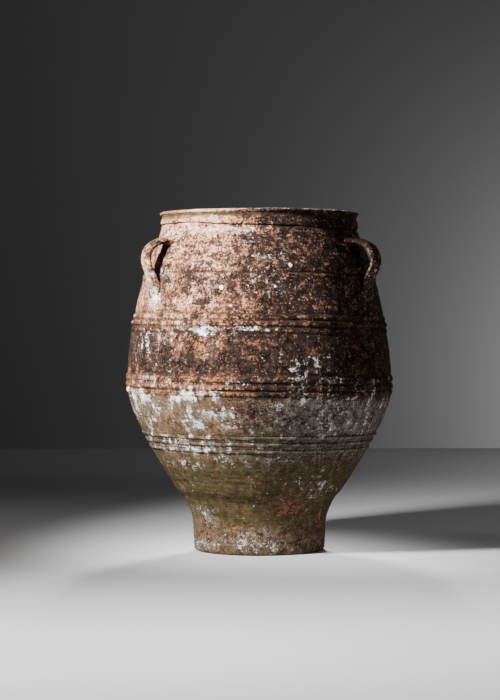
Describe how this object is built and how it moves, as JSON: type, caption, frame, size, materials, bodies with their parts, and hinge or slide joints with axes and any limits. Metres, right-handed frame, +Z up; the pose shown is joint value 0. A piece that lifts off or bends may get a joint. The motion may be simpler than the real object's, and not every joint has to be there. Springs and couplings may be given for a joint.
{
  "type": "storage jar",
  "caption": "Large wide-mouthed terracotta storage jar with a tapering foot, raised cordons, a folded rim and strap handles on the shoulder.",
  "frame": {"origin": "centre of the foot's flat underside", "axes": "+Z up along the jar's axis, out of the mouth; -Y towards the front, midway between two handles; the third handle is at +Y"},
  "size_m": [0.5574, 0.5574, 0.7],
  "materials": {
    "terracotta": "matt, speckled and weathered",
    "terracotta_dark": "matt, dark slip worn through",
    "terracotta_stained": "matt, stained by algae and lime"
  },
  "bodies": {
    "root": {"floor_disc": "terracotta_stained", "foot_wall": "terracotta_stained", "lower_belly": "terracotta_stained", "upper_belly": "terracotta_dark", "shoulder": "terracotta", "neck": "terracotta", "rim_collar": "terracotta", "rim_lip": "terracotta", "lower_cordon_1": "terracotta_stained", "lower_cordon_2": "terracotta_stained", "lower_cordon_3": "terracotta_stained", "belly_cordon_1": "terracotta", "belly_cordon_2": "terracotta", "belly_cordon_3": "terracotta", "shoulder_cordon_1": "terracotta", "shoulder_cordon_2": "terracotta", "shoulder_cordon_3": "terracotta", "handle_left": "terracotta", "handle_right": "terracotta", "handle_back": "terracotta"}
  },
  "joints": []
}
